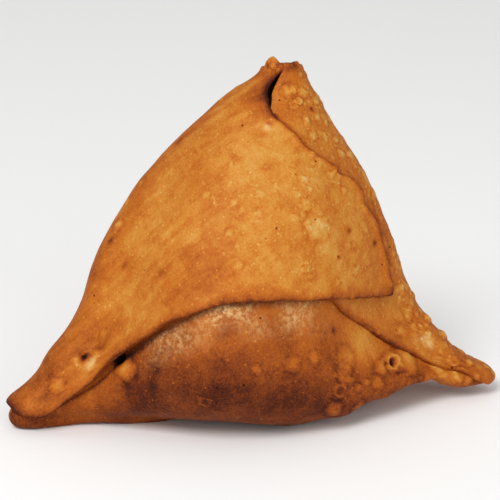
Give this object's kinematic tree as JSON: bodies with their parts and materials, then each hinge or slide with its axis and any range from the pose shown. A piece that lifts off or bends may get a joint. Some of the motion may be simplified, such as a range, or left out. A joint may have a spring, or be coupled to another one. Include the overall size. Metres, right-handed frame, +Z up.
{
  "type": "samosa",
  "caption": "Deep-fried pastry cone folded round a filling, with a broad overlapping front flap, a swollen belly, two pinched side tips and an open pinched apex.",
  "frame": {"origin": "at the height of the flat spot it rests on, below the middle of its bounding box", "axes": "+Z up to the open apex, -Y towards the front flap, +X towards the lifted right tip"},
  "size_m": [0.105, 0.0602, 0.0765],
  "materials": {
    "pastry": "dry fried crust with a slight oily sheen"
  },
  "bodies": {
    "root": {"samosa": "pastry"}
  },
  "joints": []
}
